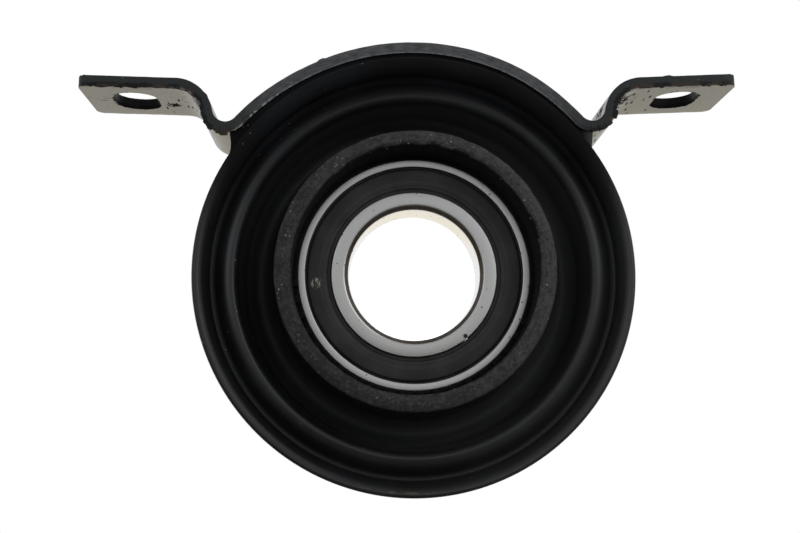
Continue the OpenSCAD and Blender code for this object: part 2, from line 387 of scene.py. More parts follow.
@dataclass(frozen=True)
class CushionRubber(Finish):
    """Black moulded rubber with a dusty, scuffed front lip, and painted light and shade in its colour. Its places
    along x, y, z and r are named so.
    """

    name: str = "cushion_rubber"
    black: Colour = grey(0.0058)
    bloom: Colour = (0.0086, 0.0094, 0.0110, 1.0)
    lip_dark: Colour = grey(0.0110)
    lip_pale: Colour = grey(0.036, 0.02)
    # painted shade: near-black colour for the recess between the lip and the bearing
    painted_recess_shade: Colour = grey(0.0015)
    # haze_and_painted_light: painted light that lifts the trough, more to the right; it also lightens the webs and
    # the lower right
    haze_and_painted_light: Colour = (0.030, 0.031, 0.0325, 1.0)
    dust: Colour = grey(0.42, 0.03)
    # rim_line_dust_and_reflection: brownish line on the bottom of the rim, a painted reflection of the floor and
    # partly dust
    rim_line_dust_and_reflection: Colour = (0.048, 0.037, 0.027, 1.0)
    cloud: Grain = Grain(16.0, 3.0)
    mottle: Grain = Grain(3.2, 5.0)
    grain: Grain = Grain(0.6, 3.0)
    scuff: Grain = Grain(1.4, 4.0)
    specks: Specks = Specks(2.4, 0.075, 0.34)
    motes: Specks = Specks(1.7, 0.085, 0.20)
    crumbs: Specks = Specks(0.9, 0.22, 0.34)
    lip_dust: Specks = Specks(1.6, 0.15, 0.26)
    specks_x: Span = (70.0, -50.0)
    motes_x: Span = (40.0, -50.0)
    left_x: Span = (30.0, -30.0)
    right_x: Span = (-25.0, 45.0)
    lower_z: Span = (34.0, 0.0)
    upper_z: Span = (-34.0, 34.0)
    lip_y: Span = (-13.0, -15.6)
    lip_r: Span = (33.4, 32.6)
    recess_y: Span = (-16.2, -15.0)
    recess_r: Span = (29.8, 29.2)
    trough_y: Span = (-5.5, -1.5)
    trough_r: Span = (41.2, 40.0)
    wall_r: Band = (37.5, 39.5, 40.0, 41.2)
    crest_r: Band = (40.2, 41.2, 42.6, 43.6)
    crest_y: Span = (-3.5, -5.0)
    bead_r: Band = (48.6, 49.0, 49.6, 50.0)
    bead_y: Span = (-8.6, -9.0)
    web_x: Span = (39.0, 42.5)
    web_r: Span = (50.4, 50.9)
    matt_r: Span = (38.5, 45.5)
    matt_z: Span = (4.0, 30.0)
    rim_line_at: Point = (-4.0, -8.6, -49.4)
    rim_line_reach: float = 11.0
    rim_line_r: Band = (48.8, 49.1, 49.4, 49.7)

    def shader(self, g: Graph, at: Place) -> Socket:
        """Draws shiny moulded rubber, matt towards the strap, under haze with painted light in the trough and to
        the right, painted shade in the recess, painted light on the lip, a brownish rim line of painted reflection
        and dust, wear and dust.
        """
        cloud, mottle, grain, scuff = (
            g.noise(at.vector, kind) for kind in (self.cloud, self.mottle, self.grain, self.scuff)
        )
        rightward = at.x.rise(self.right_x)
        lip = at.y.rise(self.lip_y) * at.r.rise(self.lip_r)
        shaded_recess = at.y.rise(self.recess_y) * at.r.rise(self.recess_r)
        web = at.x.rise(self.web_x) * at.r.rise(self.web_r)
        bead = at.r.within(self.bead_r) * at.y.rise(self.bead_y)
        crest = at.r.within(self.crest_r) * at.y.rise(self.crest_y)
        # Painted light: the trough is lifted in colour, more towards the right; the webs and the lower right are
        # lightened too.
        inside = at.r.rise(self.trough_r) * (0.25 + rightward * 0.30)
        trough = at.y.rise(self.trough_y) * (inside + at.r.within(self.wall_r) * 0.75)
        lower_right = rightward * at.z.rise(self.lower_z)

        moulded = g.blend(cloud.smooth(0.42, 0.72), self.black, self.bloom)
        haze_and_light_share = trough * (0.75 + rightward * 0.9) + lower_right * 0.30 + web * 0.8
        patchy = mottle * 0.25 + scuff * 0.30 + grain * 0.45
        # Painted light: the lip's colour is lighter towards the top and the right, as lit from the upper right.
        lit = at.z.rise(self.upper_z) * 0.06 + rightward * 0.10 - 0.07
        lip_mottle_and_light = g.blend((patchy + lit).smooth(0.38, 0.64), self.lip_dark, self.lip_pale)
        # Lip skin laid over the rubber with its haze and painted light.
        worn = g.blend(lip, g.blend(haze_and_light_share, moulded, self.haze_and_painted_light), lip_mottle_and_light)
        # Painted shade: the recess behind the lip is darkened in colour.
        with_recess_shade = g.blend(shaded_recess, worn, self.painted_recess_shade)
        # Painted reflection, partly dust: a brownish line along the bottom of the rim, broken by the scuff noise.
        rim_line_share = g.near(at, self.rim_line_at, self.rim_line_reach) * at.r.within(self.rim_line_r)
        painted_glint = g.blend(rim_line_share * scuff.smooth(0.46, 0.60) * 0.7, with_recess_shade, self.rim_line_dust_and_reflection)

        specks = g.specks(at.vector, self.specks) * at.x.rise(self.specks_x)
        motes = g.specks(at.vector, self.motes) * at.x.rise(self.motes_x)
        crumbs = g.specks(at.vector, self.crumbs) * (0.25 + at.x.rise(self.left_x) * 0.75)
        lip_dust = (g.specks(at.vector, self.lip_dust) + crumbs * 0.6) * lip
        dust = (specks * 0.45 + motes * 0.35 + lip_dust * 0.5) * scuff.smooth(0.3, 0.6)
        dusty = g.blend(dust, painted_glint, self.dust)
        relief = grain * (0.2 + lip * 1.3) + mottle * lip * 0.9 + specks + lip_dust
        uneven = g.bump(relief, depth_mm=0.10, strength=0.5)
        shiny = g.gloss(
            Base_Color=dusty,
            Roughness=0.34 + cloud * 0.14 + lip * 0.28 + shaded_recess * 0.48,
            Specular_IOR_Level=0.26,
            Coat_Weight=crest * (0.42 - rightward * 0.30) + bead * 0.40,
            Coat_Roughness=0.28,
            Coat_IOR=1.5,
            Normal=uneven,
        )
        # Duller, matt rubber towards the strap, at the top of the ring and the crest.
        matt_rubber = g.gloss(Base_Color=dusty, Roughness=0.9, Specular_IOR_Level=0.03, Normal=uneven)
        matt_share = at.r.rise(self.matt_r) * at.z.rise(self.matt_z) * (1.0 - web)
        return g.mix(matt_share, shiny, matt_rubber)


@dataclass
class StrapShape:
    """Line of the bent strap seen along the shaft, with its slots, which the rubber follows too."""

    inner_r: float = 52.3
    thickness: float = 2.7
    front: float = -5.1
    rear: float = 21.6
    ear_tip: float = 77.35
    ear_rise: float = math.radians(1.97)
    offset: float = -0.6
    offset_start: float = 22.0
    offset_run: float = 18.0
    lean: float = math.radians(12.0)
    fold_r: float = 3.0
    bend_r: float = 6.3
    fold_centre: Vector = field(default_factory=lambda: Vector((42.7754, 0.0, 39.1697)))
    bend_centre: Vector = field(default_factory=lambda: Vector((54.6992, 0.0, 37.55)))
    slot_x: float = 65.4
    slot_w: float = 10.5
    slot_l: float = 16.2

    @property
    def fold_angle(self) -> float:
        """Angle above the horizontal at which the strap's circle ends in the fold."""
        return math.atan2(self.fold_centre.z, self.fold_centre.x)

    @property
    def middle(self) -> float:
        """Middle of the strap along the shaft."""
        return 0.5 * (self.front + self.rear)

    @property
    def slot_straight(self) -> float:
        """Half the length of a slot's straight sides."""
        return 0.5 * (self.slot_l - self.slot_w)

    def settle(self, verts: Iterable[Vert]) -> None:
        """Moves the folds and ears sideways, where the press set them off the middle.

        Args:
            verts: Vertices of the strap or of the rubber under it.
        """
        for vert in verts:
            vert.co.x += self.offset * ease((abs(vert.co.x) / MM - self.offset_start) / self.offset_run) * MM

    @staticmethod
    def round_point(centre: Vector, radius: float, angle: float) -> Vector:
        """Gives a point on a circle that is seen along the shaft.

        Args:
            centre: Centre of the circle.
            radius: Its radius.
            angle: Angle from +X towards +Z.

        Returns:
            The point.
        """
        return centre + radius * Vector((math.cos(angle), 0.0, math.sin(angle)))


@dataclass(frozen=True)
class BracketPaint(Finish):
    """Glossy black paint on the strap's sheet, pitted and flaked to matt in places."""

    name: str = "bracket_paint"
    shape: StrapShape = field(default_factory=StrapShape)
    black: Colour = (0.012, 0.0125, 0.014, 1.0)
    worn: Colour = (0.030, 0.030, 0.031, 1.0)
    grit: Colour = grey(0.16, 0.06)
    matt: Colour = grey(0.010, 0.06)
    dulled: float = 0.53
    peel: Grain = Grain(1.8, 2.0)
    cloud: Grain = Grain(14.0, 4.0)
    ragged: Grain = Grain(1.6, 3.0)
    scratch: Grain = Grain(0.8, 2.0)
    scratch_squeeze: float = 0.22
    nubs: Specks = Specks(2.6, 0.11, 0.16)
    pits: Specks = Specks(0.9, 0.31, 0.66)
    pit_squeeze: float = 0.17
    pits_anywhere: float = 0.08
    pitted: tuple[tuple[Point, float], ...] = (
        ((-57.4, 11.0, 44.0), 9.0), ((54.6, 8.0, 44.0), 15.0), ((47.5, 4.0, 43.0), 15.0),
    )
    blotch_at: Point = (-57.4, 11.0, 44.0)
    blotch_reach: float = 2.2
    scuffed_at: Point = (47.5, 4.0, 43.0)
    scuffed_reach: float = 8.0
    rim_waves: float = 2.6
    rim_inset: float = 1.1
    rim_fade: Span = (0.4, 0.1)
    border_waves: float = 4.5
    border_inset: float = 1.8
    border_fade: Span = (1.0, 0.5)

    def shader(self, g: Graph, at: Place) -> Socket:
        """Draws gloss paint with orange peel, laid bare at slots, borders, pits, scuffs and scratches."""
        s = self.shape
        peel, cloud, ragged = (g.noise(at.vector, kind) for kind in (self.peel, self.cloud, self.ragged))
        nubs = g.specks(at.vector, self.nubs)
        paint = g.blend(cloud.smooth(0.45, 0.75), self.black, self.worn)
        gloss = g.gloss(
            Base_Color=g.blend(nubs * 0.35, paint, self.grit),
            Roughness=0.12 + cloud * 0.12 + nubs * 0.2,
            Coat_Weight=1.0,
            Coat_Roughness=0.12,
            Coat_IOR=1.6,
            Normal=g.bump(peel * 0.5 + nubs, depth_mm=0.03, strength=0.5),
        )
        matt = g.gloss(Base_Color=self.matt, Roughness=0.9, Specular_IOR_Level=0.02)

        across = g.math("ABSOLUTE", at.x - s.offset * MM) - s.slot_x * MM
        along = g.math("ABSOLUTE", at.y - s.middle * MM) - s.slot_straight * MM
        past = g.math("MAXIMUM", along, 0.0)
        off_slot = g.math("SQRT", across * across + past * past) - 0.5 * s.slot_w * MM
        rim = (off_slot + ragged * (self.rim_waves * MM) - self.rim_inset * MM).rise(self.rim_fade)
        behind = at.y - s.front * MM
        border = (behind + ragged * (self.border_waves * MM) - self.border_inset * MM).rise(self.border_fade)
        under = 1.0 - g.attribute(THROUGH)
        spotted = self.pits_anywhere + sum(g.near(at, spot, reach) for spot, reach in self.pitted)
        squeezed = g.point(at.x, at.y * self.pit_squeeze, at.z)
        pits = g.specks(squeezed, self.pits) * g.math("MINIMUM", spotted, 1.0) * under
        blotch = g.near(at, self.blotch_at, self.blotch_reach) * ragged.smooth(0.36, 0.46)
        scuffs = g.near(at, self.scuffed_at, self.scuffed_reach) * ragged.smooth(0.42, 0.54)
        drawn_out = g.point(at.x * self.scratch_squeeze, at.y, at.z)
        scratch = g.noise(drawn_out, self.scratch).smooth(0.66, 0.70) * cloud.smooth(0.46, 0.58)
        bare = g.math("MINIMUM", rim + border * under + pits + blotch + scuffs + scratch * 0.7, 1.0)
        return g.mix(self.dulled + bare * (1.0 - self.dulled), gloss, matt)


@dataclass(frozen=True)
class ShearedEdge(Finish):
    """Painted edge of the sheet: burnished above, torn below, with brown scale in the bends, a painted highlight
    along the strap's lower edge and a painted glint at its upper left.
    """

    name: str = "bracket_sheared_edge"
    burnished: Colour = (0.0150, 0.0178, 0.0190, 1.0)
    torn: Colour = (0.0030, 0.0030, 0.0032, 1.0)
    strap_pale: Colour = (0.075, 0.079, 0.082, 1.0)
    strap_dark: Colour = (0.030, 0.0325, 0.0345, 1.0)
    # painted highlight along the lower (inner) side of the strap's front edge
    painted_edge_highlight: Colour = (0.115, 0.118, 0.120, 1.0)
    scale: Colour = (0.030, 0.021, 0.015, 1.0)
    # bare: bare steel of the chips, and also the colour of the painted glint
    bare: Colour = grey(0.30, 0.03)
    gloss: float = 0.2
    streak: Grain = Grain(0.36, 4.0)
    streak_squeeze: float = 0.009
    tear: Grain = Grain(1.1, 4.0)
    flake: Grain = Grain(4.0, 3.0)
    chips: Specks = Specks(1.4, 0.17, 0.16)
    ends_x: Span = (30.0, 44.0)
    glint_angle: float = math.radians(130.0)
    glint_spread: float = math.radians(14.0)

    def shader(self, g: Graph, at: Place) -> Socket:
        """Draws a streaked strap edge with a painted highlight along its lower side and a painted glint at the
        upper left, turning into the ears' dark, torn one, with bare flecks.
        """
        through = g.attribute(THROUGH)
        angle = g.math("ARCTAN2", at.z, at.x)
        streak = g.noise(g.point(at.r, angle * self.streak_squeeze, at.y), self.streak)
        tear = g.noise(at.vector, self.tear)
        flake = g.noise(at.vector, self.flake)
        chips = g.specks(at.vector, self.chips)
        shorn = (through + tear * 0.5 - 0.25).smooth(0.30, 0.46)
        scaly = g.blend(flake.smooth(0.46, 0.62) * 0.8, self.torn, self.scale)
        ear_skin = g.blend(shorn, scaly, self.burnished)
        streaky = g.blend((streak * 0.85 + flake * 0.15).smooth(0.26, 0.74), self.strap_dark, self.strap_pale)
        # Painted highlight: the strap's edge is lighter along its lower side.
        lower_edge_highlight = through.smooth(0.22, 0.0) * tear.smooth(0.30, 0.55)
        strap_skin = g.blend(lower_edge_highlight, streaky, self.painted_edge_highlight)
        skin = g.blend(g.math("ABSOLUTE", at.x).rise(self.ends_x), strap_skin, ear_skin)
        # Painted highlight: a broken bright line on the lower side of the edge at the upper left, as lit from
        # there.
        turned = g.math("ABSOLUTE", angle - self.glint_angle).smooth(self.glint_spread, 0.5 * self.glint_spread)
        painted_glint = through.smooth(0.24, 0.04) * turned * tear.smooth(0.50, 0.60)
        relief = tear * (1.3 - shorn * 0.8) + streak * 0.4 + chips * 0.5
        return g.gloss(
            Base_Color=g.blend(painted_glint * 0.6 + chips * (1.0 - painted_glint) * 0.22, skin, self.bare),
            Roughness=0.42 + tear * 0.18,
            Specular_IOR_Level=self.gloss,
            Normal=g.bump(relief, depth_mm=0.16, strength=0.7),
        )


@dataclass(frozen=True)
class GroundSteel(Finish):
    """Ground bearing steel with fine turning rings, a few pits and one chip in its face."""

    name: str = "race_steel"
    steel: Colour = grey(0.59, 0.015)
    shade: Colour = grey(0.48, 0.02)
    pit: Colour = grey(0.02)
    scale: Colour = (0.125, 0.105, 0.085, 1.0)
    bore: Colour = (0.74, 0.73, 0.73, 1.0)
    rings: Grain = Grain(0.16, 2.0)
    cloud: Grain = Grain(9.0, 3.0)
    ragged: Grain = Grain(0.5, 2.0)
    specks: Specks = Specks(1.7, 0.145, 0.80)
    corner_r: Span = (16.0, 15.8)
    corner_y: Span = (5.4, 5.7)
    wall_r: Span = (15.25, 15.1)
    chip_at: Point = (11.5, -6.5, -14.2)
    chip_r: float = 0.70
    roughness: float = 0.30

    def shader(self, g: Graph, at: Place) -> Socket:
        """Draws ringed faces, dark corners at the bore and its bright wall."""
        rings = g.noise(g.point(at.r, at.y, 0.0), self.rings)
        cloud = g.noise(at.vector, self.cloud)
        ragged = g.noise(at.vector, self.ragged)
        specks = g.specks(at.vector, self.specks)
        chip = g.near(at, self.chip_at, self.chip_r) * ragged.smooth(0.22, 0.34)
        pits = g.math("MAXIMUM", specks, chip)
        face = g.blend(rings * 0.6 + cloud * 0.4, self.shade, self.steel)
        corner = at.r.rise(self.corner_r) * g.math("ABSOLUTE", at.y).rise(self.corner_y)
        wall = at.r.rise(self.wall_r) * (1.0 - corner)
        steel = g.blend(wall, g.blend(corner * (0.55 + cloud * 0.6), face, self.scale), self.bore)
        return g.gloss(
            Base_Color=g.blend(pits, steel, self.pit),
            Metallic=1.0 - pits,
            Specular_IOR_Level=0.05,
            Roughness=self.roughness + cloud * 0.10 + rings * 0.08 - wall * 0.20,
            Normal=g.bump(rings - specks, depth_mm=0.006, strength=0.6),
        )


@dataclass(frozen=True)
class SealRubber(Finish):
    """Dark grey moulded rubber of the seals, with faint rings and one pale scuff."""

    name: str = "seal_rubber"
    dark: Colour = (0.0100, 0.0103, 0.0103, 1.0)
    pale: Colour = (0.0250, 0.0254, 0.0262, 1.0)
    scuff: Colour = (0.24, 0.22, 0.19, 1.0)
    rings: Grain = Grain(0.5, 2.0)
    cloud: Grain = Grain(7.0, 3.0)
    grain: Grain = Grain(0.45, 3.0)
    scratch: Grain = Grain(0.45, 2.0)
    scratch_squeeze: float = 0.3
    scuff_at: Point = (-22.3, -6.2, -1.9)
    scuff_r: float = 1.5

    def shader(self, g: Graph, at: Place) -> Socket:
        """Draws clouded, faintly ringed rubber with the scuff."""
        rings = g.noise(g.point(at.r, at.y, 0.0), self.rings)
        cloud = g.noise(at.vector, self.cloud)
        grain = g.noise(at.vector, self.grain)
        scratch = g.noise(g.point(at.x, at.y, at.z * self.scratch_squeeze), self.scratch)
        scuffed = g.near(at, self.scuff_at, self.scuff_r) * scratch.smooth(0.46, 0.60)
        skin = g.blend((rings * 0.45 + cloud * 0.55).smooth(0.36, 0.66), self.dark, self.pale)
        return g.gloss(
            Base_Color=g.blend(scuffed, skin, self.scuff),
            Roughness=0.46 + cloud * 0.18 + scuffed * 0.2,
            Specular_IOR_Level=0.34,
            Normal=g.bump(rings * 0.5 + grain * 0.5, depth_mm=0.04, strength=0.5),
        )


@dataclass(frozen=True)
class InnerSteel(Finish):
    """Steel of the balls and of the pressed cage."""

    bright: Colour
    dull: Colour
    roughness: float
    film: Grain = Grain(2.4, 3.0)

    def shader(self, g: Graph, at: Place) -> Socket:
        """Draws steel under a thin film of oil."""
        film = g.noise(at.vector, self.film)
        return g.gloss(
            Base_Color=g.blend(film, self.dull, self.bright),
            Metallic=1.0,
            Roughness=self.roughness + film * 0.10,
            Normal=g.bump(film, depth_mm=0.01, strength=0.4),
        )


@dataclass(frozen=True)
class PaleFloor(Finish):
    """Pale floor that takes the shadow near the part and fades into the white surround."""

    name: str = "pale_floor"
    paper: Colour = grey(0.88)
    cream: Colour = (1.0, 0.955, 0.81, 1.0)
    front_strength: float = 0.12
    fade: Span = (0.12, 0.7)
    front_end: Span = (0.05, 0.35)

    def shader(self, g: Graph, at: Place) -> Socket:
        """Draws paper that is white to the camera further off, and cream behind the part to gloss."""

        def glow(colour: Colour, strength: float) -> Socket:
            """Adds an even light."""
            return g.node("ShaderNodeEmission", None, {"Color": colour, "Strength": strength}).outputs[0]

        seen, mirrored = g.rays()
        paper = g.node("ShaderNodeBsdfDiffuse", None, {"Color": self.paper}).outputs[0]
        fading = g.math("SQRT", at.x * at.x + at.y * at.y).smooth(*self.fade)
        behind = g.mix(fading, paper, glow(self.cream, 1.0))
        lit = g.mix(at.y.smooth(*self.front_end), glow(self.cream, self.front_strength), behind)
        return g.mix(seen * fading, g.mix(mirrored, paper, lit), glow(WHITE, 1.0))


@dataclass(frozen=True)
class Corner:
    """A corner of a turned section, from the shaft axis and along the shaft."""

    r: float
    y: float
    rounding: float = 0.0

    def moved(self, direction: float) -> "Corner":
        """Gives the corner with its place along the shaft multiplied by 1 or -1."""
        return Corner(self.r, self.y * direction, self.rounding)


def round_corners(mesh: Mesh, verts: Sequence[Vert], radius_mm: float, segments: int) -> None:
    """Rounds corners of a flat outline.

    Args:
        mesh: Mesh that holds the outline as a face.
        verts: The corners.
        radius_mm: Radius of a square corner.
        segments: Edges of each rounded corner.
    """
    bmesh.ops.bevel(
        mesh, geom=verts, offset=radius_mm * MM, offset_type="OFFSET", affect="VERTICES", segments=segments,
        profile=0.5, material=-1, clamp_overlap=False,
    )


def draw_section(mesh: Mesh, corners: Sequence[Corner], segments: int, longest_mm: float) -> None:
    """Draws a section as a closed line in the XY plane.

    Args:
        mesh: Empty mesh that takes it.
        corners: Corners in order, each with its rounding.
        segments: Edges of each rounded corner.
        longest_mm: Longest edge that is left uncut.
    """
    verts = [mesh.verts.new((c.r * MM, c.y * MM, 0.0)) for c in corners]
    mesh.faces.new(verts)
    for rounding in sorted({c.rounding for c in corners if c.rounding}):
        alike = [v for v, c in zip(verts, corners) if c.rounding == rounding]
        round_corners(mesh, alike, rounding, segments)
    bmesh.ops.delete(mesh, geom=mesh.faces[:], context="FACES_ONLY")
    bmesh.ops.remove_doubles(mesh, verts=mesh.verts[:], dist=SAME_PLACE)
    while long_edges := [e for e in mesh.edges if e.calc_length() > longest_mm * MM]:
        bmesh.ops.subdivide_edges(mesh, edges=long_edges, cuts=1)


def turn(mesh: Mesh, steps: int) -> None:
    """Spins the mesh's lines once round the shaft axis into a closed skin.

    Args:
        mesh: Mesh that holds only the section.
        steps: Faces round the shaft.
    """
    bmesh.ops.spin(
        mesh, geom=mesh.verts[:] + mesh.edges[:], cent=CENTRE, axis=SHAFT, angle=math.tau, steps=steps,
        use_merge=True,
    )
    bmesh.ops.remove_doubles(mesh, verts=mesh.verts[:], dist=SAME_PLACE)
    bmesh.ops.recalc_face_normals(mesh, faces=mesh.faces[:])


def whole(mesh: Mesh) -> list[Vert | Edge | bmesh.types.BMFace]:
    """Lists all vertices, edges and faces of a mesh."""
    return mesh.verts[:] + mesh.edges[:] + mesh.faces[:]


def edges_of(geometry: Iterable[object]) -> list[Edge]:
    """Picks the edges from an operator's result."""
    return [item for item in geometry if isinstance(item, Edge)]


def verts_of(geometry: Iterable[object]) -> list[Vert]:
    """Picks the vertices from an operator's result."""
    return [item for item in geometry if isinstance(item, Vert)]


def add_piece(
    name: str, mesh: Mesh, finishes: Sequence[bpy.types.Material], body: str, node: str,
) -> bpy.types.Object:
    """Makes a finished piece that stands for a CAD node.

    Args:
        name: Name of the piece.
        mesh: Its shape, which is freed.
        finishes: Its materials, in the order of the faces' material places.
        body: CAD body that it moves with.
        node: CAD node that it replaces.

    Returns:
        The new object.
    """
    data = bpy.data.meshes.new(name)
    mesh.to_mesh(data)
    mesh.free()
    for material in finishes:
        data.materials.append(material)
    data.shade_smooth()
    data.set_sharp_from_angle(angle=SHARP_ANGLE)
    piece = bpy.data.objects.new(name, data)
    bpy.context.scene.collection.objects.link(piece)
    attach(piece, body)
    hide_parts(node)
    LOG.info("%s: %d faces, rides on %s", name, len(data.polygons), body)
    return piece


@dataclass(frozen=True)
class TornLip:
    """How rough the cushion's lip is: scales per millimetre, heights, and angles in degrees."""

    depth: float = 2.6
    margin: float = 0.4
    fade: float = 2.0
    coarse_scale: float = 0.35
    coarse_height: float = 0.16
    fine_scale: float = 1.1
    fine_height: float = 0.10
    fine_shift: Point = (7.0, 3.0, 1.0)
    edge_width: float = 1.2
    cut_start: float = -8.0
    cut_growth: float = 30.0
    cut_end: float = 150.0
    cut_decline: float = 45.0
    cut: float = 0.75
    cut_change: float = 0.30
    step_angle: float = 6.5
    wave_angle: float = 2.2
    fringe: float = 0.08

    def cut_at(self, angle: float) -> float:
        """Gives how much of the inner edge is cut away at an angle, in irregular steps.

        Args:
            angle: Angle from +X towards +Z, in degrees.

        Returns:
            The cut in millimetres.
        """
        growing = ease((angle - self.cut_start) / self.cut_growth)
        declining = ease((self.cut_end - angle) / self.cut_decline)
        step = noise.cell(Vector((angle / self.step_angle, 2.5, 0.5)))
        wave = noise.noise(Vector((angle / self.wave_angle, 0.0, 4.0)))
        return growing * declining * (self.cut + self.cut_change * (step + 0.5 * wave))


@dataclass(frozen=True)
class Web:
    """Rubber web under a fold: its side, its reach round the fold and how it meets the ring."""

    side: float
    reach: float
    setback: float = 0.15
    overlap: float = math.radians(4.0)
    fullness: float = 0.98
    heel_in: float = 0.5
    heel_up: float = 0.25
    heel_round: float = 2.2
    toe_in: float = 0.15
    toe_angle: float = math.radians(4.5)
    root_angle: float = math.radians(2.0)
    segments: int = 8


@dataclass
class RubberCushion:
    """Moulded cushion: hub with its front lip and teeth, folded wall, outer ring and saddle."""

    strap: StrapShape
    finish: CushionRubber = field(default_factory=CushionRubber)
    lip: TornLip = field(default_factory=TornLip)
    webs: tuple[Web, Web] = (Web(-1.0, math.radians(37.0)), Web(1.0, math.radians(48.0)))
    steps: int = 288
    tooth_count: int = 20
    tooth_pitch: float = math.radians(8.0)
    first_tooth: float = math.radians(24.0)
    tooth_size: Point = (3.0, 1.2, 1.67)
    tooth_middle: Span = (28.0, -7.1)
    tooth_round: float = 0.25
    saddle_front: float = -4.5
    saddle_rear: float = 20.2
    saddle_root: float = 1.2
    saddle_steps: int = 72
    ring_r: float = 50.4
    lip_front: float = -16.4
    lip_inner: float = 27.7
    lip_outer: float = 31.4
    lip_round: float = 1.2
    lip_crown: float = 0.5
    fine_depth: float = 3.0

    def section(self) -> list[Corner]:
        """Lists the corners of the cushion's section, from the lip's bore round to the bearing's seat.

        Returns:
            The corners in order.
        """
        return [
            Corner(self.lip_inner, self.lip_front + self.lip_crown, 0.35),
            Corner(self.lip_inner + self.lip_round, self.lip_front, self.lip_round),
            Corner(self.lip_outer - self.lip_round, self.lip_front, self.lip_round),
            Corner(self.lip_outer, self.lip_front + 1.2 * self.lip_crown, 0.6),
            Corner(32.80, 9.0, 3.25),
            Corner(38.95, 9.0, 3.25),
            Corner(40.40, -5.9, 1.35),
            Corner(43.25, -5.9, 1.35),
            Corner(45.55, -3.0, 0.5),
            Corner(46.9, -3.0, 0.5),
            Corner(46.9, -7.3, 1.6),
            Corner(48.7, -9.2, 0.9),
            Corner(self.ring_r, -9.2, 1.15),
            Corner(self.ring_r, 20.8, 1.4),
            Corner(46.8, 20.8, 1.4),
            Corner(46.8, 0.4, 0.8),
            Corner(43.84, 0.4, 0.5),
            Corner(42.45, 12.4, 6.0),
            Corner(34.0, 12.4, 2.0),
            Corner(31.2, 11.0, 0.6),
            Corner(25.6, 11.0, 0.5),
            Corner(25.6, 6.5),
            Corner(27.5, 6.5),
            Corner(27.5, -6.5),
            Corner(self.lip_inner, -6.5),
        ]

    def _roughen_lip(self, mesh: Mesh) -> None:
        """Gives the lip its torn inner edge, uneven face and crumbs of flash."""
        lip = self.lip
        back = self.lip_front + lip.depth
        mesh.normal_update()
        for vert in mesh.verts:
            r = math.hypot(vert.co.x, vert.co.z) / MM
            y = vert.co.y / MM
            if y > back or r > self.lip_outer + lip.margin:
                continue
            share = min(1.0, (back - y) / lip.fade)
            coarse = noise.noise(vert.co / MM * lip.coarse_scale)
            fine = noise.noise(vert.co / MM * lip.fine_scale + Vector(lip.fine_shift))
            vert.co += vert.normal * share * (lip.coarse_height * coarse + lip.fine_height * fine) * MM
            edge = max(0.0, 1.0 - (r - self.lip_inner) / lip.edge_width)
            angle = math.degrees(math.atan2(vert.co.z, vert.co.x))
            outwards = Vector((vert.co.x, 0.0, vert.co.z)).normalized()
            vert.co += outwards * share * edge * (lip.cut_at(angle) + lip.fringe * fine) * MM

    def _add_teeth(self, mesh: Mesh) -> None:
        """Sets the small teeth that hold the bearing in, along the lower part where they are left."""
        tooth = bmesh.ops.create_cube(mesh, size=1.0)["verts"]
        bmesh.ops.scale(mesh, vec=Vector(self.tooth_size) * MM, verts=tooth)
        bmesh.ops.translate(mesh, vec=Vector((*self.tooth_middle, 0.0)) * MM, verts=tooth)
        rounded = bmesh.ops.bevel(
            mesh, geom=list({e for v in tooth for e in v.link_edges}), offset=self.tooth_round * MM,
            offset_type="OFFSET", affect="EDGES", segments=2, profile=0.5, material=-1,
        )
        faces = {f for v in rounded["verts"] for f in v.link_faces}
        verts = {v for f in faces for v in f.verts}
        lines = {e for f in faces for e in f.edges}
        bmesh.ops.rotate(
            mesh, cent=CENTRE, matrix=Matrix.Rotation(self.first_tooth, 3, "Y"), verts=list(verts),
        )
        more = self.tooth_count - 1
        bmesh.ops.spin(
            mesh, geom=[*verts, *lines, *faces], cent=CENTRE, axis=SHAFT, angle=self.tooth_pitch * more,
            steps=more, use_duplicate=True,
        )

    def _add_saddle(self, mesh: Mesh) -> None:
        """Lays the rubber between the ring and the strap, with a web under each fold."""
        start = self.strap.fold_angle
        foot = self.ring_r - self.saddle_root
        ring = set(mesh.verts)
        band = [
            mesh.verts.new((r * MM, y * MM, 0.0))
            for r, y in (
                (foot, self.saddle_front), (self.strap.inner_r, self.saddle_front),
                (self.strap.inner_r, self.saddle_rear), (foot, self.saddle_rear),
            )
        ]
        bmesh.ops.rotate(mesh, cent=CENTRE, matrix=Matrix.Rotation(-start, 3, "Y"), verts=band)
        face = mesh.faces.new(band)
        bmesh.ops.spin(
            mesh, geom=[*face.verts, *face.edges, face], cent=CENTRE, axis=-SHAFT,
            angle=math.pi - 2.0 * start, steps=self.saddle_steps,
        )
        for web in self.webs:
            rest = set(mesh.verts)
            self._add_web(mesh, foot, web)
            fresh = [v for v in mesh.verts if v not in rest]
            bmesh.ops.scale(mesh, vec=(web.side, 1.0, 1.0), verts=fresh)
        self.strap.settle(v for v in mesh.verts if v not in ring)

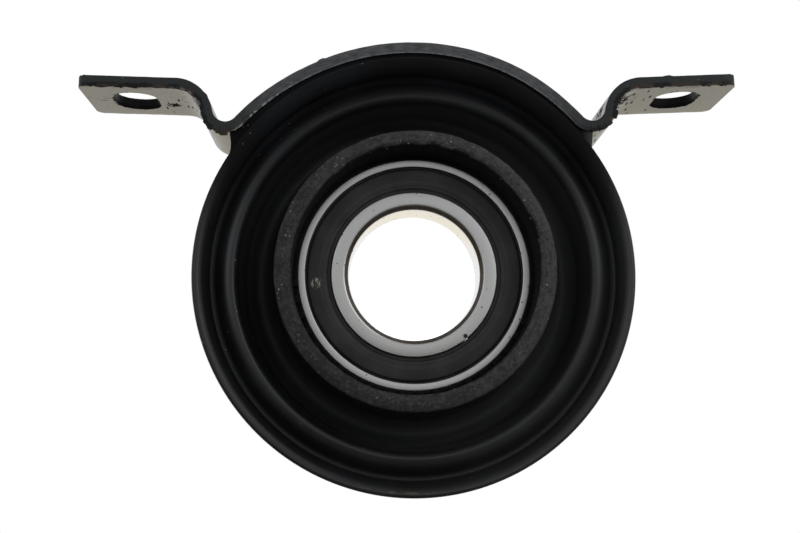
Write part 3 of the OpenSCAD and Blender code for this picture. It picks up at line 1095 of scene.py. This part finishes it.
    def _add_web(self, mesh: Mesh, foot: float, web: Web) -> None:
        """Fills the corner under a fold, with a hollow curve down to the ring, drawn on the right.

        Args:
            mesh: Mesh of the cushion.
            foot: Radius inside the ring at which the web is rooted.
            web: The web's shape.
        """
        strap = self.strap
        start = strap.fold_angle
        under = strap.fold_r + strap.thickness
        half = 0.5 * web.reach
        end = strap.round_point(strap.fold_centre, under, start + math.pi + web.reach)
        apex = strap.round_point(strap.fold_centre, under / math.cos(half), start + math.pi + half)
        ring_angle = math.acos(end.x / self.ring_r)
        heel_x = end.x - web.heel_in
        heel = Vector((heel_x, 0.0, math.sqrt(self.ring_r**2 - heel_x**2) + web.heel_up))
        points = [
            strap.round_point(CENTRE, strap.inner_r, start + web.overlap),
            strap.round_point(CENTRE, strap.inner_r, start),
            apex,
            end,
            heel,
            strap.round_point(CENTRE, self.ring_r - web.toe_in, ring_angle - web.toe_angle),
            strap.round_point(CENTRE, foot, ring_angle - web.root_angle),
            strap.round_point(CENTRE, foot, start + web.overlap),
        ]
        front = self.saddle_front + web.setback
        verts = [mesh.verts.new((p.x * MM, front * MM, p.z * MM)) for p in points]
        mesh.faces.new(verts)
        hollow = under * math.tan(half) * web.fullness
        for point, rounding in ((apex, hollow), (heel, web.heel_round)):
            round_corners(mesh, [verts[points.index(point)]], rounding, web.segments)
        grown = bmesh.ops.extrude_face_region(mesh, geom=verts[0].link_faces[:], use_keep_orig=True)["geom"]
        depth = (self.saddle_rear - web.setback - front) * MM
        bmesh.ops.translate(mesh, vec=(0.0, depth, 0.0), verts=verts_of(grown))

    def build(self) -> bpy.types.Object:
        """Builds the cushion.

        Returns:
            The finished piece.
        """
        mesh = bmesh.new()
        draw_section(mesh, self.section(), segments=7, longest_mm=2.4)
        fine_end = (self.lip_front + self.fine_depth) * MM
        near_lip = [e for e in mesh.edges if all(v.co.y < fine_end for v in e.verts)]
        bmesh.ops.subdivide_edges(mesh, edges=near_lip, cuts=2)
        turn(mesh, self.steps)
        self._roughen_lip(mesh)
        self._add_teeth(mesh)
        self._add_saddle(mesh)
        bmesh.ops.recalc_face_normals(mesh, faces=mesh.faces[:])
        finishes = [self.finish.material()]
        return add_piece("moulded_cushion", mesh, finishes, "housing", "rubber_cushion")


@dataclass(frozen=True)
class TornEdge:
    """How rough the sheet's sheared edges are: scales per millimetre, heights and reaches."""

    inset: float = 0.04
    wave_scale: float = 0.45
    wave_height: float = 0.05
    step_scale: float = 1.1
    step_height: float = 0.10
    step_shift: Point = (3.0, 0.0, 8.0)
    nub_reach: float = 1.1
    burr_reach: float = 0.9
    strap_margin: float = 0.25
    left_burrs: tuple[Span, ...] = (
        (-12, 0.1), (-30, 0.35), (-48, 0.6), (-58, -0.45), (-67, 0.55), (-80, 0.80), (-97, 0.2), (-106, 0.0),
    )
    right_burrs: tuple[Span, ...] = (
        (-6, 0.5), (-27, -0.45), (-35, 0.25), (-48, 0.12), (-67, -0.5), (-75, 0.0), (-92, -0.4), (-99, 0.0),
    )
    nubs: tuple[Point, ...] = (
        (-21.1, 50.8, 0.45), (60.8, 46.8, 0.40), (-75.6, 47.2, 0.30), (-46.8, 42.6, 0.35), (75.4, 47.2, 0.25),
    )

    def burr(self, spot: Vector, shape: StrapShape) -> float:
        """Gives how far the torn lower edge hangs at a point of a fold.

        Args:
            spot: Point of the edge, in millimetres.
            shape: Line of the strap.

        Returns:
            The hang in millimetres, less than 0 in a notch.
        """
        away = Vector((abs(spot.x), 0.0, spot.z)) - shape.fold_centre
        angle = math.degrees(math.atan2(away.z, away.x))
        hang = 0.0
        if away.length < shape.fold_r + shape.thickness + self.burr_reach:
            for start, step in self.left_burrs if spot.x < 0 else self.right_burrs:
                if angle < start:
                    hang = step
        return hang

    def growth(self, spot: Vector, upper: bool, shape: StrapShape) -> float:
        """Gives how far an edge of the sheet stands out at a point.

        Args:
            spot: Point of the edge, in millimetres.
            upper: Whether it lies on the sheet's upper side.
            shape: Line of the strap.

        Returns:
            The growth in millimetres.
        """
        grown = -self.inset - self.wave_height * noise.noise(spot * self.wave_scale)
        if abs(spot.y - shape.front) * MM >= SAME_EDGE:
            return grown
        if upper:
            for x, z, height in self.nubs:
                grown += height * ease(1.0 - math.hypot(spot.x - x, spot.z - z) / self.nub_reach)
        elif math.hypot(spot.x, spot.z) > shape.inner_r + self.strap_margin:
            step = noise.cell(spot * self.step_scale + Vector(self.step_shift))
            grown += self.burr(spot, shape) + step * self.step_height
        return grown


@dataclass
class StrapBracket:
    """Sheet-steel strap with a slotted ear at each end."""

    shape: StrapShape
    edge: ShearedEdge = field(default_factory=ShearedEdge)
    wall: ShearedEdge = field(
        default_factory=lambda: ShearedEdge(
            "bracket_slot_wall", burnished=grey(0.004), torn=grey(0.002), scale=grey(0.005), bare=grey(0.06),
            gloss=0.06,
        )
    )
    tears: TornEdge = field(default_factory=TornEdge)
    ear_corner: float = 2.5
    corner_segments: int = 6
    row_angles: Span = (math.radians(45.0), math.radians(90.0))
    ear_cuts: int = 23
    short_edge: float = 10.0
    slot_segments: int = 48
    bend_steps: int = 26
    riser_steps: int = 8
    fold_steps: int = 44
    arc_steps: int = 60
    ear_margin: float = 0.2
    slot_margin: float = 0.5
    edge_round: float = 0.28
    edge_segments: int = 3

    def _ear_sheet(self, mesh: Mesh) -> list[Edge]:
        """Lays the right-hand ear as a flat sheet with its slot.

        Args:
            mesh: Empty mesh that takes it.

        Returns:
            The edge at which the ear turns down into the bend.
        """
        s = self.shape
        root = s.bend_centre.x
        top = s.bend_centre.z + s.bend_r + s.thickness
        outline = [
            mesh.verts.new((x * MM, y * MM, top * MM))
            for x, y in ((root, s.front), (s.ear_tip, s.front), (s.ear_tip, s.rear), (root, s.rear))
        ]
        mesh.faces.new(outline)
        round_corners(mesh, outline[1:3], self.ear_corner, self.corner_segments)
        bmesh.ops.delete(mesh, geom=mesh.faces[:], context="FACES_ONLY")
        along = [
            e for e in mesh.edges
            if e.calc_length() > self.short_edge * MM and abs(e.verts[0].co.y - e.verts[1].co.y) < SAME_EDGE
        ]
        bmesh.ops.subdivide_edges(mesh, edges=along, cuts=self.ear_cuts)
        slot = bmesh.ops.create_circle(
            mesh, segments=self.slot_segments, radius=0.5 * s.slot_w * MM,
            matrix=Matrix.Translation(Vector((s.slot_x, s.middle, top)) * MM),
        )["verts"]
        for side in (-1.0, 1.0):
            half = [v for v in slot if (v.co.y - s.middle * MM) * side > SAME_PLACE]
            bmesh.ops.translate(mesh, vec=(0.0, side * s.slot_straight * MM, 0.0), verts=half)
        bmesh.ops.triangle_fill(mesh, edges=mesh.edges[:], use_beauty=True)
        end = [e for e in mesh.edges if all(abs(v.co.x - root * MM) < SAME_PLACE for v in e.verts)]
        raised = Matrix.Rotation(-s.ear_rise, 3, "Y")
        bmesh.ops.rotate(mesh, cent=s.bend_centre * MM, matrix=raised, verts=mesh.verts[:])
        return end

    def _run_to_middle(self, mesh: Mesh, root: list[Edge]) -> None:
        """Runs the sheet from the ear through bend, riser and fold to the top of the strap.

        Args:
            mesh: Mesh that holds the ear.
            root: Edge at which the ear turns down.
        """
        s = self.shape

        def swing(edges: list[Edge], centre: Vector, angle: float, steps: int) -> list[Edge]:
            """Spins the sheet's end edge about a line along the shaft."""
            verts = {v for e in edges for v in e.verts}
            swept = bmesh.ops.spin(
                mesh, geom=[*edges, *verts], cent=centre * MM, axis=-SHAFT, angle=angle, steps=steps,
            )
            return edges_of(swept["geom_last"])

        end = swing(root, s.bend_centre, 0.5 * math.pi - s.lean - s.ear_rise, self.bend_steps)
        riser_head = s.round_point(s.bend_centre, s.bend_r + s.thickness, math.pi - s.lean)
        riser_foot = s.round_point(s.fold_centre, s.fold_r, math.tau - s.lean)
        stride = (riser_foot - riser_head) / self.riser_steps * MM
        for _ in range(self.riser_steps):
            grown = bmesh.ops.extrude_edge_only(mesh, edges=end)["geom"]
            moved = verts_of(grown)
            bmesh.ops.translate(mesh, vec=stride, verts=moved)
            end = [e for e in edges_of(grown) if len(e.link_faces) == 1 and all(v in moved for v in e.verts)]
        end = swing(end, s.fold_centre, s.fold_angle - math.pi + s.lean, self.fold_steps)
        swing(end, CENTRE, 0.5 * math.pi - s.fold_angle, self.arc_steps)

    def _skin(self, part: bmesh.types.BMFace) -> Skin:
        """Tells which finish a face of the sheet takes.

        Args:
            part: The face, before the edges are torn.

        Returns:
            The surface that it belongs to.
        """
        s = self.shape
        middle = part.calc_center_median() / MM
        past = max(0.0, abs(middle.y - s.middle) - s.slot_straight)
        off_slot = math.hypot(abs(middle.x) - s.slot_x, past) - 0.5 * s.slot_w
        on_ear = abs(middle.x) > s.bend_centre.x + self.ear_margin
        if not (abs(part.normal.z) < 0.5 if on_ear else abs(part.normal.y) > 0.7):
            return Skin.PAINTED
        return Skin.SLOT_WALL if on_ear and off_slot < self.slot_margin else Skin.SHEARED

    def _tear_edges(self, mesh: Mesh, outer: set[Vert]) -> None:
        """Gives the sheared edges their waves, the front ones their burrs and nubs of paint.

        Args:
            mesh: Mesh of the whole sheet.
            outer: Vertices of the sheet's upper side.
        """
        s = self.shape
        mesh.normal_update()
        moves = []
        for vert in mesh.verts:
            if min(abs(vert.co.y - s.front * MM), abs(vert.co.y - s.rear * MM)) >= SAME_EDGE:
                continue
            flat = [f.normal for f in vert.link_faces if abs(f.normal.y) < 0.5]
            if flat:
                grown = self.tears.growth(vert.co / MM, vert in outer, s)
                moves.append((vert, sum(flat, Vector()).normalized() * grown * MM))
        for vert, move in moves:
            vert.co += move

    def _thicken(self, mesh: Mesh) -> set[Vert]:
        """Mirrors the half sheet to the whole strap and gives it its thickness.

        Args:
            mesh: Mesh of the right-hand half, as a sheet without thickness.

        Returns:
            The vertices of the sheet's upper side.
        """
        s = self.shape
        rows = [self.ear_corner * (1.0 - math.cos(angle)) for angle in self.row_angles]
        for y in (*(s.front + row for row in rows), *(s.rear - row for row in rows)):
            bmesh.ops.bisect_plane(
                mesh, geom=whole(mesh), dist=SAME_PLACE, plane_co=(0, y * MM, 0), plane_no=SHAFT,
            )
        bmesh.ops.mirror(mesh, geom=whole(mesh), matrix=Matrix.Identity(4), merge_dist=SAME_EDGE, axis="X")
        bmesh.ops.remove_doubles(mesh, verts=mesh.verts[:], dist=SAME_PLACE)
        bmesh.ops.recalc_face_normals(mesh, faces=mesh.faces[:])
        mesh.normal_update()
        if sum(f.normal.z * f.calc_area() for f in mesh.faces) < 0:
            bmesh.ops.reverse_faces(mesh, faces=mesh.faces[:])
        sheet = set(mesh.verts)
        bmesh.ops.solidify(mesh, geom=mesh.faces[:], thickness=s.thickness * MM)
        bmesh.ops.recalc_face_normals(mesh, faces=mesh.faces[:])
        mesh.normal_update()
        sides = (sheet, set(mesh.verts) - sheet)
        return max(sides, key=lambda side: sum(v.co.z for v in side) / len(side))

    def build(self) -> bpy.types.Object:
        """Builds the bracket.

        Returns:
            The finished piece.
        """
        mesh = bmesh.new()
        through = mesh.verts.layers.float.new(THROUGH)
        rolled = mesh.edges.layers.float.new(ROLLED)
        self._run_to_middle(mesh, self._ear_sheet(mesh))
        outer = self._thicken(mesh)
        for vert in outer:
            vert[through] = 1.0
        for part in mesh.faces:
            part.material_index = self._skin(part).value
        self._tear_edges(mesh, outer)
        for line in mesh.edges:
            met = {part.material_index for part in line.link_faces}
            line[rolled] = float(len(met) > 1 and all(v in outer for v in line.verts))
        self.shape.settle(mesh.verts)
        finishes = [finish.material() for finish in (BracketPaint(shape=self.shape), self.edge, self.wall)]
        piece = add_piece("strap_with_ears", mesh, finishes, "housing", "mounting_bracket")
        rounding = piece.modifiers.new("rounded_edges", "BEVEL")
        rounding.width = self.edge_round * MM
        rounding.segments = self.edge_segments
        rounding.limit_method = "WEIGHT"
        rounding.use_clamp_overlap = False
        return piece


@dataclass
class BallBearing:
    """Sealed ball bearing: two races and two seals round the CAD balls and cage."""

    bore_r: float = 15.0
    bearing_r: float = 27.5
    half_w: float = 6.5
    race_corner: float = 1.0
    outer_corner: float = 1.05
    inner_land: float = 18.9
    outer_land: float = 23.4
    inner_track: float = 17.55
    outer_track: float = 24.95
    track_floor: float = 1.6
    track_round: float = 0.9
    inner_track_edge: float = 2.85
    outer_track_edge: float = 2.95
    seat_r: float = 24.9
    seal_back: float = 5.1
    steps: int = 256
    steel: GroundSteel = field(default_factory=GroundSteel)
    rubber: SealRubber = field(default_factory=SealRubber)
    ball_steel: InnerSteel = InnerSteel("ball_steel", grey(0.80), grey(0.66), 0.06)
    cage_steel: InnerSteel = InnerSteel("cage_steel", grey(0.56, 0.03), grey(0.40, 0.05), 0.30)

    @staticmethod
    def both_halves(rear: list[Corner]) -> list[Corner]:
        """Completes a race's section with the mirror image of its rear half.

        Args:
            rear: Corners of the rear half, in order.

        Returns:
            The corners of the closed section.
        """
        return rear + [corner.moved(Face.FRONT.value) for corner in reversed(rear)]

    def outer_section(self) -> list[Corner]:
        """Lists the corners of the outer race, with its seal seats and ball track.

        Returns:
            The corners in order.
        """
        corner = self.outer_corner
        return self.both_halves([
            Corner(self.bearing_r, self.half_w - corner, 0.15),
            Corner(self.bearing_r - corner, self.half_w, 0.15),
            Corner(self.seat_r, self.half_w, 0.15),
            Corner(self.seat_r, self.seal_back),
            Corner(self.outer_land, self.seal_back, 0.1),
            Corner(self.outer_land, self.outer_track_edge, 0.1),
            Corner(self.outer_track, self.track_floor, self.track_round),
        ])

    def inner_section(self) -> list[Corner]:
        """Lists the corners of the inner race, with its ball track.

        Returns:
            The corners in order.
        """
        return self.both_halves([
            Corner(self.inner_track, self.track_floor, self.track_round),
            Corner(self.inner_land, self.inner_track_edge, 0.1),
            Corner(self.inner_land, self.half_w, 0.2),
            Corner(self.bore_r + self.race_corner, self.half_w, 0.25),
            Corner(self.bore_r, self.half_w - self.race_corner, 0.25),
        ])

    def seal_section(self, face: Face) -> list[Corner]:
        """Lists the corners of a seal: thin web, raised face and sealing lip.

        Args:
            face: Face of the bearing that the seal closes.

        Returns:
            The corners in order.
        """
        back = self.seal_back
        rear = [
            Corner(19.0, back, 0.1),
            Corner(24.85, back),
            Corner(24.85, back + 0.55, 0.1),
            Corner(24.62, back + 0.55, 0.05),
            Corner(24.46, back + 0.35, 0.05),
            Corner(24.22, back + 1.2, 0.22),
            Corner(20.65, back + 1.2, 0.12),
            Corner(20.50, back + 1.02, 0.1),
            Corner(19.95, back + 1.02, 0.22),
            Corner(19.70, back + 0.45, 0.1),
            Corner(19.0, back + 0.45, 0.12),
        ]
        return [corner.moved(face.value) for corner in rear]

    def _turned_piece(
        self, name: str, corners: list[Corner], finish: bpy.types.Material, body: str, node: str,
    ) -> None:
        """Turns a section and adds it as a piece.

        Args:
            name: Name of the piece.
            corners: Its section.
            finish: Its material.
            body: CAD body that it moves with.
            node: CAD node that it replaces.
        """
        mesh = bmesh.new()
        draw_section(mesh, corners, segments=4, longest_mm=4.0)
        turn(mesh, self.steps)
        add_piece(name, mesh, [finish], body, node)

    def build(self) -> None:
        """Builds the races and seals, and dresses the CAD balls and cage."""
        steel = self.steel.material()
        rubber = self.rubber.material()
        self._turned_piece(
            "outer_race", self.outer_section(), steel, "housing", "bearing_outer_race",
        )
        self._turned_piece(
            "inner_race", self.inner_section(), steel, "inner_race", "bearing_inner_race",
        )
        for face in Face:
            side = face.name.lower()
            self._turned_piece(
                f"{side}_rubber_seal", self.seal_section(face), rubber, "housing", f"{side}_seal",
            )
        ball_steel = self.ball_steel.material()
        cage_steel = self.cage_steel.material()
        for name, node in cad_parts.items():
            if name.startswith("ball_"):
                dress(node, ball_steel)
            elif name.startswith("cage_"):
                dress(node, cage_steel)


def dress(node: bpy.types.Object, finish: bpy.types.Material) -> None:
    """Gives a CAD node a finish in place of its plain one.

    Args:
        node: The node's object.
        finish: The material.
    """
    if not node.material_slots:
        node.data.materials.append(finish)
    for place in node.material_slots:
        place.material = finish
    LOG.info("%s: dressed in %s", node.name, finish.name)


@dataclass(frozen=True)
class Softbox:
    """A square studio lamp that points at the bearing."""

    name: str
    place: Point
    size: float
    power: float

    def build(self) -> None:
        """Hangs the lamp."""
        lamp = bpy.data.lights.new(self.name, "AREA")
        lamp.size = self.size
        lamp.energy = self.power
        holder = bpy.data.objects.new(self.name, lamp)
        holder.location = self.place
        holder.rotation_euler = (-Vector(self.place)).to_track_quat("-Z", "Y").to_euler()
        bpy.context.scene.collection.objects.link(holder)


@dataclass
class Studio:
    """White studio: pale floor, soft lamps, white surround and the photograph's camera.

    The surround's zones are told by the direction of a ray: height z and depth y, from -1 to 1.
    """

    floor: PaleFloor = field(default_factory=PaleFloor)
    floor_z: float = -0.16
    floor_half: float = 30.0
    ambient: float = 0.55
    front_low: float = 0.40
    front_high: float = 0.92
    above: float = 0.12
    side: float = 0.06
    front_colour: Colour = (0.94, 0.98, 1.0, 1.0)
    high_z: Span = (-0.16, 0.10)
    above_z: Span = (0.24, 0.40)
    side_y: Span = (-0.86, -0.62)
    back_y: Span = (-0.20, 0.20)
    softboxes: tuple[Softbox, ...] = (
        Softbox("key_softbox", (0.50, -0.42, 0.34), 0.70, 2.4),
        Softbox("fill_softbox", (-0.50, -0.42, 0.30), 0.70, 1.2),
        Softbox("back_softbox", (0.05, 0.50, 0.50), 0.50, 2.2),
    )
    camera_place: Point = (-0.012524, -0.30907, -0.03651)
    camera_look: Point = (0.0305, 0.9916, 0.1255)
    camera_roll: float = math.radians(-0.54)
    camera_near: float = 0.01
    focal_length: float = 60.2
    sensor_width: float = 36.0

    def _surround(self) -> None:
        """Makes the world white to the camera; gloss sees a lit front, dark sides and a white back."""
        world = bpy.data.worlds.new("white_surround")
        world.use_nodes = True
        bpy.context.scene.world = world
        g = Graph(world.node_tree)
        at = g.place()
        seen, mirrored = g.rays()

        def glow(strength: float, colour: Colour = self.front_colour) -> Socket:
            """Adds an even light."""
            return g.node("ShaderNodeBackground", None, {"Color": colour, "Strength": strength}).outputs[0]

        rising = g.mix(at.z.smooth(*self.high_z), glow(self.front_low), glow(self.front_high))
        front = g.mix(at.z.smooth(*self.above_z), rising, glow(self.above))
        sides = g.mix(at.y.smooth(*self.side_y), front, glow(self.side))
        tent = g.mix(at.y.smooth(*self.back_y), sides, glow(1.0, WHITE))
        unseen = g.mix(mirrored, glow(self.ambient, WHITE), tent)
        light = g.mix(seen, unseen, glow(1.0, WHITE))
        g.node("ShaderNodeOutputWorld", None, {"Surface": light})

    def _floor(self) -> None:
        """Lays the floor."""
        mesh = bmesh.new()
        level = Matrix.Translation((0.0, 0.0, self.floor_z))
        bmesh.ops.create_grid(mesh, x_segments=1, y_segments=1, size=self.floor_half, matrix=level)
        data = bpy.data.meshes.new("studio_floor")
        mesh.to_mesh(data)
        mesh.free()
        data.materials.append(self.floor.material())
        floor = bpy.data.objects.new("studio_floor", data)
        bpy.context.scene.collection.objects.link(floor)

    def _camera(self) -> None:
        """Sets up the camera at the photograph's place."""
        lens = bpy.data.cameras.new("photo_camera")
        lens.lens = self.focal_length
        lens.sensor_width = self.sensor_width
        lens.clip_start = self.camera_near
        camera = bpy.data.objects.new("photo_camera", lens)
        aim = Vector(self.camera_look).to_track_quat("-Z", "Y").to_matrix().to_4x4()
        roll = Matrix.Rotation(self.camera_roll, 4, "Z")
        camera.matrix_world = Matrix.Translation(self.camera_place) @ aim @ roll
        bpy.context.scene.collection.objects.link(camera)
        bpy.context.scene.camera = camera

    def build(self) -> None:
        """Builds the studio."""
        bpy.context.scene.view_settings.view_transform = "Standard"
        self._surround()
        self._floor()
        for softbox in self.softboxes:
            softbox.build()
        self._camera()
        LOG.info("studio: %d softboxes", len(self.softboxes))


def main() -> None:
    """Builds the studio and the pieces in order."""
    logging.basicConfig(level=logging.INFO, format="%(name)s: %(message)s")
    Studio().build()
    strap = StrapShape()
    StrapBracket(strap).build()
    RubberCushion(strap).build()
    BallBearing().build()


if __name__ == "__main__":
    main()
